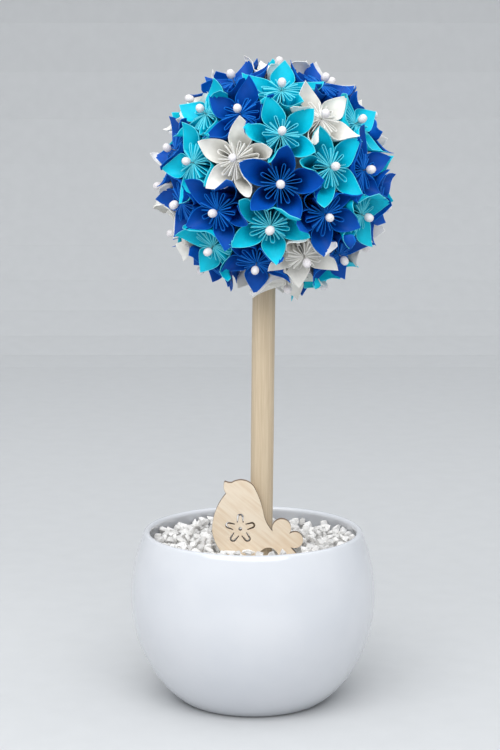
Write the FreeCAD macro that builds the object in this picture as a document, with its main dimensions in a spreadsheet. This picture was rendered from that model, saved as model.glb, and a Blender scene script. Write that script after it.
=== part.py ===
import FreeCAD, Part
import math
import os
import random
from dataclasses import dataclass

import Sketcher
from FreeCAD import Matrix, Placement, Rotation, Vector

# Paper flower ball on a wooden stem, potted in a glazed pot with gravel and a plywood bird.
# Millimetres, +Z up, origin at the centre of the pot's foot, the bird faces -Y.

# Driving dimensions: alias and value
SIZES = {
    "paper_side": 50.0,
    "paper_thickness": 0.15,
    "fold_seat": 3.5,
    "seam_angle": 20.0,
    "petal_reach": 32.5,
    "least_reach": 21.0,
    "flower_gap": 0.3,
    "core_diameter": 66.0,
    "ball_height": 270.0,
    "ball_offset": 10.8,
    "pin_diameter": 0.6,
    "pin_depth": 9.0,
    "pin_clearance": 0.05,
    "pearl_width": 4.2,
    "pearl_length": 4.9,
    "pearl_above_paper": 2.2,
    "stem_diameter": 12.0,
    "stem_offset": 3.3,
    "stem_lean": 0.6,
    "stem_in_core": 34.0,
    "pot_height": 88.6,
    "pot_rim_radius": 56.5,
    "pot_belly_radius": 63.8,
    "pot_belly_height": 53.6,
    "pot_heel_radius": 53.8,
    "pot_heel_height": 17.0,
    "pot_foot_radius": 38.5,
    "pot_heel_curve": 52.0,
    "pot_wall": 3.5,
    "pot_lip_round": 1.2,
    "gravel_below_rim": 6.6,
    "stone_size": 6.0,
    "stone_height": 6.0,
    "stone_gap": 0.3,
    "bird_length": 47.0,
    "bird_height": 40.4,
    "bird_thickness": 3.0,
    "bird_offset": 2.3,
    "bird_to_stem": 0.3,
    "bird_hole_centre": 0.9,
    "bird_cut_tip": 8.0,
    "bird_cut_root": 3.4,
    "bird_cut_half": 1.7,
    "bird_cut_width": 0.85,
    "bird_cut_end": 0.4,
    "bird_arch_radius": 5.0,
}

PETALS = 5
HALF_PETAL = 180.0 / PETALS
BACK_FLOWERS = 21
GRID_POINTS = 1600
SETTLING_ROUNDS = 160
SETTLING_STEP = 0.0006
GOLDEN_TURN = 180.0 * (3.0 - math.sqrt(5.0))
COLOURS = ("turquoise", "blue", "white")
FOLD_SHARE = 0.62
FOLD_HALF_ANGLE = 3.5
FOLD_HEIGHT = 0.53
STONE_SEED = 7
STONE_SIDES = 5


@dataclass
class Flower:
    """One paper flower: its colour, where it sits on the ball and how it is turned.

    Latitude is up from the ball's equator, longitude to the right of the front, and spin turns
    the first petal anticlockwise from the right, all in degrees.
    """

    colour: str
    latitude: float
    longitude: float
    spin: float

    def axis(self):
        """Return the unit vector from the ball's centre through the flower's middle."""
        lat = math.radians(self.latitude)
        lon = math.radians(self.longitude)
        return Vector(math.cos(lat) * math.sin(lon), -math.cos(lat) * math.cos(lon), math.sin(lat))

    def turn(self):
        """Return the rotation from the flower's own frame, petal one along X, axis along Z."""
        lon = math.radians(self.longitude)
        right = Vector(math.cos(lon), math.sin(lon), 0)
        upward = self.axis().cross(right)
        square = Rotation(right, upward, self.axis(), "ZXY")
        return square.multiply(Rotation(Vector(0, 0, 1), self.spin))


# The flowers that face forward, from the crown down to the stem
FRONT_FLOWERS = [
    Flower("white", 84, 20, 20),
    Flower("blue", 62, -52, 40),
    Flower("turquoise", 54, 5, 8),
    Flower("blue", 59, 54, 55),
    Flower("white", 43, -80, 30),
    Flower("turquoise", 37, -51, 25),
    Flower("blue", 37, -23, 14),
    Flower("white", 34, 29, 31),
    Flower("turquoise", 31, 57, 10),
    Flower("blue", 33, 86, 60),
    Flower("turquoise", 25, 3, 35),
    Flower("blue", 16, -70, 50),
    Flower("turquoise", 10, -48, 43),
    Flower("white", 12, -21, 11),
    Flower("turquoise", 8, 29, 32),
    Flower("blue", 6, 52, 15),
    Flower("white", -3, -86, 65),
    Flower("blue", 0, 2, 6),
    Flower("blue", -11, -59, 28),
    Flower("blue", -14, -32, 60),
    Flower("blue", -16, 27, 53),
    Flower("turquoise", -17, 54, 20),
    Flower("blue", -13, 78, 45),
    Flower("white", -27, -83, 5),
    Flower("turquoise", -22, -3, 61),
    Flower("turquoise", -35, -43, 10),
    Flower("blue", -50, -78, 35),
    Flower("blue", -46, -14, 42),
    Flower("white", -41, 20, 52),
    Flower("blue", -41, 50, 22),
    Flower("turquoise", -63, 66, 48),
    Flower("white", -64, 14, 12),
]

# Outline of the bird as shares of its length and height: each end, and a point passed on the way
BIRD_START = (0.14, 0.99)
BIRD_OUTLINE = [
    ((0.22, 0.972), None),
    ((0.46, 0.92), (0.37, 0.995)),
    ((0.572, 0.54), (0.528, 0.74)),
    ((0.665, 0.34), (0.614, 0.42)),
    ((0.848, 0.303), (0.778, 0.497)),
    ((0.862, 0.132), (1.0, 0.21)),
    ((0.93, 0.04), None),
    ((0.93, 0.0), None),
    ((0.16, 0.0), None),
    ((0.0, 0.35), (0.045, 0.17)),
    ((0.155, 0.83), (0.045, 0.62)),
    (BIRD_START, (0.128, 0.92)),
]
BIRD_BLOSSOM = (0.31, 0.37)
BIRD_ARCH = 0.62


def make_sheet(doc):
    """Write the driving dimensions to a spreadsheet, one alias a row, and return it."""
    sheet = doc.addObject("Spreadsheet::Sheet", "Sizes")
    for row, (alias, value) in enumerate(SIZES.items(), start=1):
        sheet.set(f"A{row}", alias)
        sheet.set(f"B{row}", str(value))
        sheet.setAlias(f"B{row}", alias)
    doc.recompute()
    return sheet


def nearness(colour, axis, flowers):
    """Return how near the nearest flower of a colour is to an axis, from -1 to 1."""
    return max((axis.dot(flower.axis()) for flower in flowers if flower.colour == colour), default=-1)


def fill_the_back(front, stem_axis):
    """Add flowers where the front ones leave room, evenly spread and with mixed colours."""
    fixed = [flower.axis() for flower in front] + [stem_axis]
    grid = []
    for step in range(GRID_POINTS):
        height = 1 - (2 * step + 1) / GRID_POINTS
        lat = math.degrees(math.asin(height))
        grid.append(Flower("", lat, step * GOLDEN_TURN, 0).axis())
    added = []
    nearest = [max(spot.dot(axis) for axis in fixed) for spot in grid]
    for _ in range(BACK_FLOWERS):
        best = min(range(GRID_POINTS), key=nearest.__getitem__)
        added.append(grid[best])
        nearest = [max(near, spot.dot(grid[best])) for near, spot in zip(nearest, grid)]
    for _ in range(SETTLING_ROUNDS):
        settled = []
        for index, axis in enumerate(added):
            push = Vector()
            for other in fixed + added[:index] + added[index + 1:]:
                apart = axis - other
                push += apart * (SETTLING_STEP / apart.Length ** 5)
            settled.append((axis + push).normalize())
        added = settled
    flowers = list(front)
    for index, axis in enumerate(added):
        colour = min(COLOURS, key=lambda name: nearness(name, axis, flowers))
        latitude = math.degrees(math.asin(axis.z))
        longitude = math.degrees(math.atan2(axis.x, -axis.y))
        flowers.append(Flower(colour, latitude, longitude, index * GOLDEN_TURN % (2 * HALF_PETAL)))
    return flowers


def flat_faces(*corners):
    """Return the flat faces of a corner loop: one where it lies in a plane, or else triangles."""
    if len(corners) == 3:
        return [Part.Face(Part.makePolygon([*corners, corners[0]]))]
    normal = (corners[1] - corners[0]).cross(corners[2] - corners[0]).normalize()
    if abs(normal.dot(corners[3] - corners[0])) < 1e-6:
        return [Part.Face(Part.makePolygon([*corners, corners[0]]))]
    first, second, third, fourth = corners
    return flat_faces(first, second, third) + flat_faces(first, third, fourth)


def solid_from(faces):
    """Sew flat faces into one closed solid with its faces outward."""
    shell = Part.makeShell(faces)
    shell.sewShape()
    solid = Part.makeSolid(shell)
    if solid.Volume < 0:
        solid.reverse()
    return solid


class FoldedFlower:
    """The folded paper flower in its own frame: the folds meet at the origin, the axis is +Z."""

    def __init__(self, size):
        self.size = size
        self.half_side = size("paper_side") / 2
        self.seat = size("fold_seat")
        self.paper = size("paper_thickness")
        self.bore = (size("pin_diameter") / 2 + size("pin_clearance")) / math.cos(math.radians(HALF_PETAL))

    def ray(self, angle, azimuth, reach):
        """Return the low and high end of a fold line that starts at the origin.

        Angle is from the flower's axis, azimuth from the petal's middle, both in degrees.
        """
        tilt, turn = math.radians(angle), math.radians(azimuth)
        line = Vector(math.sin(tilt) * math.cos(turn), math.sin(tilt) * math.sin(turn), math.cos(tilt))
        return [line * (self.seat / line.z), line * reach]

    def sheet_reach(self, share):
        """Return the distance from the folds' meeting point to the sheet's edge.

        Share runs from 0 at the sheet's corner, the petal's tip, to 1 at the middle of its side.
        """
        return self.half_side / math.cos(math.radians(45 * (1 - share)))

    def outline(self, reach):
        """Return the petal's fold lines in order round it, from one seam to the other."""
        seam = self.size("seam_angle")
        side = math.radians(HALF_PETAL)
        wall = (seam * 0.81, seam * 0.59)
        bulge = (wall[0] * 0.75 + reach * 0.15, wall[1] * 1.3)
        tip = (reach, reach * 0.31)
        middle = ((wall[0] + 3 * bulge[0] + 3 * tip[0] + reach) / 8,
                  (wall[1] + 3 * bulge[1] + 3 * tip[1]) / 8)
        angle, azimuth = math.hypot(*middle), math.degrees(math.atan2(middle[1], middle[0]))
        inner = Vector(math.cos(side), math.sin(side), 0) * self.bore
        edge = [inner + Vector(0, 0, self.seat), inner + Vector(0, 0, self.half_side)]
        half = [edge, self.ray(seam, HALF_PETAL, self.sheet_reach(0.56)),
                self.ray(angle, azimuth, self.sheet_reach(0.28))]
        mirrored = [[Vector(end.x, -end.y, end.z) for end in line] for line in reversed(half)]
        return half + [self.ray(reach, 0, self.sheet_reach(0))] + mirrored

    def inside(self, lines):
        """Return the same fold lines moved in by the paper's thickness, corners kept sharp."""
        count = len(lines)
        middle = Vector()
        for line in lines:
            middle += line[1] * (1 / count)
        normals = []
        for index, line in enumerate(lines):
            following = lines[(index + 1) % count]
            normal = (following[1] - line[0]).cross(line[1] - line[0]).normalize()
            if normal.dot(middle - line[0]) > 0:
                normal = normal * -1
            normals.append(normal)
        moved = []
        for index, line in enumerate(lines):
            before, after = normals[index - 1], normals[index]
            shift = (before + after) * (-self.paper / (1 + before.dot(after)))
            along = (line[1] - line[0]).normalize()
            low = line[0] + shift
            low += along * ((self.seat - low.z) / along.z)
            moved.append([low, line[1] + shift])
        return moved

    def petal_faces(self, reach):
        """Return one petal's faces, open at its seams, where it is glued to its neighbours."""
        outer = self.outline(reach)
        inner = self.inside(outer)
        count = len(outer)
        faces = []
        seams = (0, count - 2)
        closing = count - 1
        for index in range(count):
            following = (index + 1) % count
            if index not in seams:
                faces += flat_faces(outer[index][0], outer[following][0],
                                    outer[following][1], outer[index][1])
            if index != closing:
                faces += flat_faces(inner[index][0], inner[following][0],
                                    inner[following][1], inner[index][1])
            for end in (0, 1):
                faces += flat_faces(outer[index][end], outer[following][end],
                                    inner[following][end], inner[index][end])
        return faces + self.fold_faces(inner[closing], inner[0], reach)

    def fold_faces(self, right, left, reach):
        """Return the faces of the fold that stands in the petal's middle, out from its seam."""
        height = self.half_side * 2 * FOLD_HEIGHT
        fold_left = self.ray(reach * FOLD_SHARE, FOLD_HALF_ANGLE, height)
        fold_right = self.ray(reach * FOLD_SHARE, -FOLD_HALF_ANGLE, height)
        faces = []
        for first, second in ((right, fold_right), (fold_right, fold_left), (fold_left, left)):
            faces += flat_faces(first[0], second[0], second[1], first[1])
        for end in (0, 1):
            faces += flat_faces(right[end], fold_right[end], fold_left[end], left[end])
        return faces

    def shape(self, reaches):
        """Return the whole flower as one glued solid with a reach for each petal."""
        faces = []
        for index, reach in enumerate(reaches):
            turned = Rotation(Vector(0, 0, 1), index * 2 * HALF_PETAL)
            for face in self.petal_faces(reach):
                face.Placement = Placement(Vector(), turned)
                faces.append(face)
        return solid_from(faces)


class Topiary:
    """The whole object as a parametric document, one labelled shape for each real piece."""

    def __init__(self, doc):
        self.doc = doc
        self.sheet = make_sheet(doc)
        self.pieces = []
        stem_side = self.stem_point(self.size("ball_height") - self.size("core_diameter") / 2)
        self.stem_axis = (stem_side - self.ball_centre()).normalize()
        self.flowers = fill_the_back(FRONT_FLOWERS, self.stem_axis)

    def size(self, alias):
        """Return a driving dimension from the sheet as a plain number."""
        return float(self.sheet.get(alias))

    def keep(self, feature, label):
        """Give a finished piece its name and put it on the list of pieces to write."""
        feature.Label = label
        self.pieces.append(feature)
        return feature

    def from_shape(self, label, shape):
        """Hold a shape worked out in code as a piece of its own."""
        feature = self.doc.addObject("Part::Feature", label)
        feature.Shape = shape
        return self.keep(feature, label)

    def stem_point(self, height):
        """Return the point of the stem's axis at a distance up along it."""
        lean = Rotation(Vector(0, 1, 0), self.size("stem_lean"))
        return Vector(self.size("stem_offset"), 0, 0) + lean.multVec(Vector(0, 0, height))

    def ball_centre(self):
        """Return the centre of the foam ball."""
        return Vector(self.size("ball_offset"), 0, self.size("ball_height"))

    def fill_top(self):
        """Return the height of the surface that the gravel and the bird stand on."""
        return self.size("pot_height") - self.size("gravel_below_rim") - self.size("stone_height")

    def stem(self):
        """Make the stem from the pot's floor into the foam ball."""
        stem = self.doc.addObject("Part::Cylinder", "Stem")
        stem.setExpression("Radius", "Sizes.stem_diameter / 2")
        stem.setExpression("Height", "Sizes.ball_height - Sizes.core_diameter / 2 + Sizes.stem_in_core"
                                     " - Sizes.pot_wall")
        start = self.stem_point(self.size("pot_wall"))
        lean = Rotation(Vector(0, 1, 0), self.size("stem_lean"))
        dropped = math.sin(math.radians(self.size("stem_lean")))
        raised = Vector(0, 0, self.size("stem_diameter") / 2 * dropped)
        stem.Placement = Placement(start + raised, lean)
        return self.keep(stem, "stem")

    def pot(self):
        """Turn the pot's outside, hollow it from the top to an even wall and round the lip."""
        body = self.doc.addObject("PartDesign::Body", "Pot")
        plane = self.origin_feature(body, "XZ_Plane")
        sketch = body.newObject("Sketcher::SketchObject", "PotProfile")
        sketch.AttachmentSupport = [(plane, "")]
        sketch.MapMode = "FlatFace"
        foot = (self.size("pot_foot_radius"), 0)
        heel = (self.size("pot_heel_radius"), self.size("pot_heel_height"))
        belly = (self.size("pot_belly_radius"), self.size("pot_belly_height"))
        rim = (self.size("pot_rim_radius"), self.size("pot_height"))
        corners = [Vector(*point, 0) for point in ((0, 0), foot, heel, belly, rim, (0, rim[1]))]
        curves = {1: self.size("pot_heel_curve"), 2: self.curve_from_belly(belly, heel),
                  3: self.curve_from_belly(belly, rim)}
        for index, start in enumerate(corners):
            end = corners[(index + 1) % len(corners)]
            if index in curves:
                element = self.arc(start, end, curves[index])
            else:
                element = Part.LineSegment(start, end)
            sketch.addGeometry(element, False)
        for index in range(len(corners)):
            following = (index + 1) % len(corners)
            sketch.addConstraint(Sketcher.Constraint("Coincident", index, 2, following, 1))
        sketch.addConstraint(Sketcher.Constraint("Coincident", 0, 1, -1, 1))
        bindings = ((0, "pot_foot_radius", None), (1, "pot_heel_radius", "pot_heel_height"),
                    (2, "pot_belly_radius", "pot_belly_height"), (3, "pot_rim_radius", "pot_height"))
        for element, across, height in bindings:
            far = corners[element + 1].x
            self.bind(sketch, Sketcher.Constraint("DistanceX", -1, 1, element, 2, far), across)
            if height:
                upright = Sketcher.Constraint("DistanceY", -1, 1, element, 2, corners[element + 1].y)
                self.bind(sketch, upright, height)
        sketch.addConstraint(Sketcher.Constraint("Horizontal", 0))
        sketch.addConstraint(Sketcher.Constraint("Horizontal", 4))
        sketch.addConstraint(Sketcher.Constraint("Vertical", 5))
        self.bind(sketch, Sketcher.Constraint("Radius", 1, curves[1]), "pot_heel_curve")
        sketch.addConstraint(Sketcher.Constraint("Radius", 2, curves[2]))
        sketch.addConstraint(Sketcher.Constraint("Radius", 3, curves[3]))
        turned = body.newObject("PartDesign::Revolution", "PotOutside")
        turned.Profile = sketch
        turned.ReferenceAxis = (sketch, ["V_Axis"])
        turned.Angle = 360
        self.doc.recompute()
        top = self.face_at_height(turned.Shape, rim[1])
        hollow = body.newObject("PartDesign::Thickness", "PotHollow")
        hollow.Base = (turned, [top])
        hollow.setExpression("Value", "Sizes.pot_wall")
        hollow.Reversed = True
        self.doc.recompute()
        lip = body.newObject("PartDesign::Fillet", "PotLip")
        lip.Base = (hollow, self.edges_at_height(hollow.Shape, rim[1]))
        lip.setExpression("Radius", "Sizes.pot_lip_round")
        self.doc.recompute()
        self.pot_outside = turned
        return self.keep(body, "pot")

    @staticmethod
    def origin_feature(body, role):
        """Return one of the body's own origin planes or axes."""
        return next(item for item in body.Origin.OriginFeatures if item.Role == role)

    @staticmethod
    def bind(sketch, constraint, alias):
        """Add a constraint and tie its value to a cell of the sheet."""
        number = sketch.addConstraint(constraint)
        sketch.setExpression(f"Constraints[{number}]", f"Sizes.{alias}")

    @staticmethod
    def curve_from_belly(belly, end):
        """Return the radius of the arc that leaves the belly upright and passes the end."""
        inward = belly[0] - end[0]
        rise = belly[1] - end[1]
        return (inward ** 2 + rise ** 2) / (2 * inward)

    @staticmethod
    def arc(start, end, radius):
        """Return the arc that bulges outward from start up to end with a radius."""
        chord = end - start
        outward = Vector(chord.y, -chord.x, 0).normalize()
        reach = radius - math.sqrt(radius ** 2 - (chord.Length / 2) ** 2)
        return Part.ArcOfCircle(start, (start + end) / 2 + outward * reach, end)

    @staticmethod
    def face_at_height(shape, height):
        """Return the name of the flat face that lies at a height."""
        for number, face in enumerate(shape.Faces, start=1):
            box = face.BoundBox
            if abs(box.ZMin - height) < 1e-3 and abs(box.ZMax - height) < 1e-3:
                return f"Face{number}"
        raise RuntimeError("no face at that height")

    @staticmethod
    def edges_at_height(shape, height):
        """Return the names of the edges that lie at a height."""
        names = []
        for number, edge in enumerate(shape.Edges, start=1):
            box = edge.BoundBox
            if abs(box.ZMin - height) < 1e-3 and abs(box.ZMax - height) < 1e-3:
                names.append(f"Edge{number}")
        return names

    def fill(self):
        """Fill the pot with set plaster up to the gravel, round the stem."""
        cavity = self.pot_outside.Shape.cut(self.pot_body.Shape)
        level = Part.makeCylinder(self.size("pot_belly_radius"), self.fill_top())
        shape = cavity.common(level).cut(self.stem_piece.Shape)
        return self.from_shape("plaster_fill", max(shape.Solids, key=lambda solid: solid.Volume))

    def petal_cut(self, centre, outward):
        """Return the edges of the U-shaped cut round one petal of the blossom, narrower at its ends."""
        across = Vector(-outward.y, outward.x, 0)
        half = self.size("bird_cut_half")
        inner = half - self.size("bird_cut_width")
        end = half - self.size("bird_cut_end")
        root = self.size("bird_cut_root")
        bend = self.size("bird_cut_tip") - half

        def at(out, aside):
            return centre + outward * out + across * aside

        edges = [Part.ArcOfCircle(at(bend, reach), at(bend + reach, 0), at(bend, -reach))
                 for reach in (half, inner)]
        for side in (1, -1):
            corners = [at(bend, side * half), at(root, side * half), at(root, side * end),
                       at(bend, side * inner)]
            edges += [Part.LineSegment(*pair) for pair in zip(corners, corners[1:])]
        return edges

    def bird(self):
        """Cut the bird from plywood, with a blossom of U-shaped cuts in its breast."""
        length, height = self.size("bird_length"), self.size("bird_height")
        body = self.doc.addObject("PartDesign::Body", "Bird")
        sketch = body.newObject("Sketcher::SketchObject", "BirdOutline")
        sketch.AttachmentSupport = [(self.origin_feature(body, "XZ_Plane"), "")]
        sketch.MapMode = "FlatFace"

        def place(point):
            return Vector((point[0] - 0.5) * length, point[1] * height, 0)

        start = place(BIRD_START)
        arch, radius = place((BIRD_ARCH, 0)), self.size("bird_arch_radius")
        for end, passed in BIRD_OUTLINE:
            finish = place(end)
            if passed:
                sketch.addGeometry(Part.ArcOfCircle(start, place(passed), finish), False)
            elif finish.y == start.y:
                right, left = arch + Vector(radius, 0, 0), arch - Vector(radius, 0, 0)
                sketch.addGeometry(Part.LineSegment(start, right), False)
                crown = arch + Vector(0, radius, 0)
                sketch.addGeometry(Part.ArcOfCircle(right, crown, left), False)
                sketch.addGeometry(Part.LineSegment(left, finish), False)
            else:
                sketch.addGeometry(Part.LineSegment(start, finish), False)
            start = finish
        centre = place(BIRD_BLOSSOM)
        sketch.addGeometry(Part.Circle(centre, Vector(0, 0, 1), self.size("bird_hole_centre")), False)
        for index in range(PETALS):
            turn = math.radians(90 + index * 2 * HALF_PETAL)
            outward = Vector(math.cos(turn), math.sin(turn), 0)
            sketch.addGeometry(self.petal_cut(centre, outward), False)
        plate = body.newObject("PartDesign::Pad", "BirdPlate")
        plate.Profile = sketch
        plate.setExpression("Length", "Sizes.bird_thickness")
        body.setExpression("Placement.Base.x", "Sizes.bird_offset")
        body.setExpression("Placement.Base.y", "-Sizes.stem_diameter / 2 - Sizes.bird_to_stem")
        fill_top = "Sizes.pot_height - Sizes.gravel_below_rim - Sizes.stone_height"
        body.setExpression("Placement.Base.z", fill_top)
        return self.keep(body, "plywood_bird")

    def stone(self, chance):
        """Return one faceted stone that stands on the plane z = 0 with its middle on the axis."""
        radius, height = self.size("stone_size") / 2, self.size("stone_height")
        start = chance.uniform(0, 360)
        levels = []
        for width, rise in ((0.62, 0.0), (1.0, chance.uniform(0.35, 0.6)), (0.58, chance.uniform(0.8, 1.0))):
            ring = []
            for index in range(STONE_SIDES):
                turn = math.radians(start + index * 360 / STONE_SIDES)
                reach = radius * width * chance.uniform(0.8, 1.0)
                ring.append(Vector(reach * math.cos(turn), reach * math.sin(turn), rise * height))
            levels.append(ring)
        faces = []
        for lower, upper in zip(levels, levels[1:]):
            for index in range(STONE_SIDES):
                following = (index + 1) % STONE_SIDES
                faces += flat_faces(lower[index], lower[following], upper[following])
                faces += flat_faces(lower[index], upper[following], upper[index])
        for ring in (levels[0], levels[-1]):
            faces.append(Part.Face(Part.makePolygon([*ring, ring[0]])))
        return solid_from(faces)

    def gravel(self):
        """Lay one layer of loose stones in rings on the fill, clear of the stem and the bird."""
        chance = random.Random(STONE_SEED)
        pitch = self.size("stone_size") + self.size("stone_gap")
        reach = pitch / 2
        belly, rim = self.size("pot_belly_radius"), self.size("pot_rim_radius")
        belly_point = (belly, self.size("pot_belly_height"))
        shoulder = self.curve_from_belly(belly_point, (rim, self.size("pot_height")))
        above = self.fill_top() + self.size("stone_height") - self.size("pot_belly_height")
        inside = math.sqrt((shoulder - self.size("pot_wall")) ** 2 - above ** 2) - shoulder + belly
        stem = self.stem_point(self.fill_top())
        bird_back = -self.size("stem_diameter") / 2 - self.size("bird_to_stem")
        bird_front = bird_back - self.size("bird_thickness")
        bird_half = self.size("bird_length") / 2
        stones = []
        ring = inside - reach
        while ring > 0:
            count = int(math.pi / math.asin(min(1, pitch / 2 / ring)))
            start = chance.uniform(0, 360)
            for index in range(count):
                turn = math.radians(start + index * 360 / count)
                place = Vector(ring * math.cos(turn), ring * math.sin(turn), self.fill_top())
                stone = self.stone(chance)
                at_stem = (place - stem).Length < self.size("stem_diameter") / 2 + reach
                beside_bird = abs(place.x - self.size("bird_offset")) > bird_half + reach
                clear_of_bird = place.y > bird_back + reach or place.y < bird_front - reach
                if at_stem or not (beside_bird or clear_of_bird):
                    continue
                stone.Placement = Placement(place, Rotation())
                stones.append(stone)
            ring -= pitch
        return self.from_shape("gravel", Part.makeCompound(stones))

    def pin(self, head):
        """Return one pin with its point at the core, along +Z from the ball's centre."""
        core = self.size("core_diameter") / 2
        paper_top = core - self.size("fold_seat") + self.size("paper_side") / 2
        base = paper_top + self.size("pearl_above_paper")
        start = core - self.size("pin_depth")
        shaft = Part.makeCylinder(self.size("pin_diameter") / 2, base + 1 - start, Vector(0, 0, start))
        if not head:
            return shaft
        stretch = Matrix()
        stretch.scale(1, 1, self.size("pearl_length") / self.size("pearl_width"))
        pearl = Part.makeSphere(self.size("pearl_width") / 2).transformGeometry(stretch)
        pearl.translate(Vector(0, 0, base + self.size("pearl_length") / 2))
        return pearl.fuse(shaft)

    def pins(self, head):
        """Return every flower's pin, with or without its pearl, in place."""
        model = self.pin(head)
        placed = []
        for flower in self.flowers:
            copy = model.copy()
            copy.Placement = Placement(self.ball_centre(), flower.turn())
            placed.append(copy)
        return Part.makeCompound(placed)

    def core(self):
        """Make the foam ball with the stem's bore and the holes that the pins made."""
        ball = self.doc.addObject("Part::Sphere", "FoamBall")
        ball.setExpression("Radius", "Sizes.core_diameter / 2")
        ball.setExpression("Placement.Base.x", "Sizes.ball_offset")
        ball.setExpression("Placement.Base.z", "Sizes.ball_height")
        bored = self.doc.addObject("Part::Cut", "BoredBall")
        bored.Base = ball
        bored.Tool = self.stem_piece
        holes = self.doc.addObject("Part::Feature", "PinHoles")
        holes.Shape = self.pins(head=False)
        core = self.doc.addObject("Part::Cut", "FoamCore")
        core.Base = bored
        core.Tool = holes
        return self.keep(core, "foam_core")

    def petal_reaches(self, flower):
        """Return how far each petal spreads before it would leave its flower's share of the ball."""
        folded = FoldedFlower(self.size)
        apex = self.size("core_diameter") / 2 - self.size("fold_seat")
        axis = flower.axis()
        others = [other.axis() for other in self.flowers if other is not flower] + [self.stem_axis]
        beside = [other - axis for other in others if axis.dot(other) > 0.5]
        walls = [(away.normalize(), -self.size("flower_gap") / 2) for away in beside]
        reaches = []
        for index in range(PETALS):
            turned = flower.turn().multiply(Rotation(Vector(0, 0, 1), index * 2 * HALF_PETAL))
            reach = self.size("petal_reach")
            while reach > self.size("least_reach"):
                tops = [line[1] + Vector(0, 0, apex) for line in folded.outline(reach)]
                tops = [turned.multVec(top) for top in tops]
                if all(top.dot(away) < limit for top in tops for away, limit in walls):
                    break
                reach -= 0.5
            reaches.append(max(reach, self.size("least_reach")))
        return reaches

    def paper_flowers(self):
        """Fold every flower and seat it on the foam ball."""
        folded = FoldedFlower(self.size)
        apex = self.size("core_diameter") / 2 - self.size("fold_seat")
        for number, flower in enumerate(self.flowers, start=1):
            shape = folded.shape(self.petal_reaches(flower))
            place = self.ball_centre() + flower.axis() * apex
            shape.Placement = Placement(place, flower.turn())
            self.from_shape(f"flower_{number:02d}_{flower.colour}", shape)

    def build(self):
        """Build every piece from the pot up."""
        self.pot_body = self.pot()
        self.stem_piece = self.stem()
        self.doc.recompute()
        self.fill()
        self.gravel()
        self.bird()
        self.core()
        self.from_shape("pearl_pins", self.pins(head=True))
        self.paper_flowers()
        self.doc.recompute()

    def check(self):
        """Stop if a feature failed or a piece has no sound shape."""
        for item in self.doc.Objects:
            if "Invalid" in item.State or "Error" in item.State:
                raise RuntimeError(f"{item.Label} failed: {item.State}")
        for piece in self.pieces:
            if piece.Shape.isNull() or not piece.Shape.isValid():
                raise RuntimeError(f"{piece.Label} has no sound shape")

    def write(self):
        """Write each piece to a file of its own name."""
        os.makedirs("parts", exist_ok=True)
        for piece in self.pieces:
            piece.Shape.exportStep(f"parts/{piece.Label}.step")
            print(piece.Label, len(piece.Shape.Solids), round(piece.Shape.Volume, 1))


topiary = Topiary(FreeCAD.newDocument("Topiary"))
topiary.build()
topiary.check()
topiary.write()
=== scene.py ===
"""Dress the paper flower topiary: folded paper flowers, pearl pins, stem, bird, gravel and pot.

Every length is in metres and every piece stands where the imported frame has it. A flower's own
frame has its folds meeting at the origin and its axis along +Z; angles are in degrees.
"""

import logging
import math
from dataclasses import dataclass, field
from enum import Enum
from typing import Iterable, Union

import bmesh
import bpy
import numpy as np
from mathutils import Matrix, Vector
from mathutils.geometry import tessellate_polygon


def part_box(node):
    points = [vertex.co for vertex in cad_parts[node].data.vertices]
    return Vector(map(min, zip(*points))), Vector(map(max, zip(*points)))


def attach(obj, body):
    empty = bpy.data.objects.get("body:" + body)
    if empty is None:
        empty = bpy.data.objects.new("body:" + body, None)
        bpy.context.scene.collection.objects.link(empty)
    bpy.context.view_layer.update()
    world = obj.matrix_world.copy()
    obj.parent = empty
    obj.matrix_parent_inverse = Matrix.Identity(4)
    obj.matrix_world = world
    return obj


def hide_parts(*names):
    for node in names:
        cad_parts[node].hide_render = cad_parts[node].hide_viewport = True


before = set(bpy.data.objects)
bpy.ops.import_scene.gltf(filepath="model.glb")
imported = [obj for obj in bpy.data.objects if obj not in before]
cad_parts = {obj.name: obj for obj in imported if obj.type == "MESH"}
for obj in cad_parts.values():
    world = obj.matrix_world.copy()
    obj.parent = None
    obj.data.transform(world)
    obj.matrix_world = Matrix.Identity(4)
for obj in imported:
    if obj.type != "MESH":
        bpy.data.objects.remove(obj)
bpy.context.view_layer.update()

LOG = logging.getLogger("topiary")
MILLIMETRE = 0.001
PETALS = 5
PETAL_TURN = 360.0 / PETALS
STEM_RADIUS = 6.0 * MILLIMETRE
STEM_AT_GRAVEL = 6.9 * MILLIMETRE
Number = Union[int, float, "Value"]
Colour = tuple[float, float, float]


# Shader expressions


class Value:
    """A shader socket that can be used in sums and products, with the tree its nodes go to."""

    def __init__(self, tree: bpy.types.NodeTree, socket: bpy.types.NodeSocket) -> None:
        """Wrap one output socket of a tree."""
        self.tree = tree
        self.socket = socket

    def combine(self, operation: str, first: Number, second: Number) -> "Value":
        """Add a Math node.

        Args:
            operation: the node's operation.
            first: its first number or value.
            second: its second number or value.

        Returns:
            The node's output.
        """
        node = self.tree.nodes.new("ShaderNodeMath")
        node.operation = operation
        for socket, value in zip(node.inputs, (first, second)):
            if isinstance(value, Value):
                self.tree.links.new(value.socket, socket)
            else:
                socket.default_value = value
        return Value(self.tree, node.outputs[0])

    def __add__(self, other: Number) -> "Value":
        """Return self plus other."""
        return self.combine("ADD", self, other)

    def __mul__(self, other: Number) -> "Value":
        """Return self times other."""
        return self.combine("MULTIPLY", self, other)

    def __sub__(self, other: Number) -> "Value":
        """Return self less other."""
        return self.combine("SUBTRACT", self, other)

    def __rsub__(self, other: Number) -> "Value":
        """Return other less self."""
        return self.combine("SUBTRACT", other, self)

    def at_least(self, limit: Number) -> "Value":
        """Return the larger of self and a limit."""
        return self.combine("MAXIMUM", self, limit)

    def at_most(self, limit: Number) -> "Value":
        """Return the smaller of self and a limit."""
        return self.combine("MINIMUM", self, limit)


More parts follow.
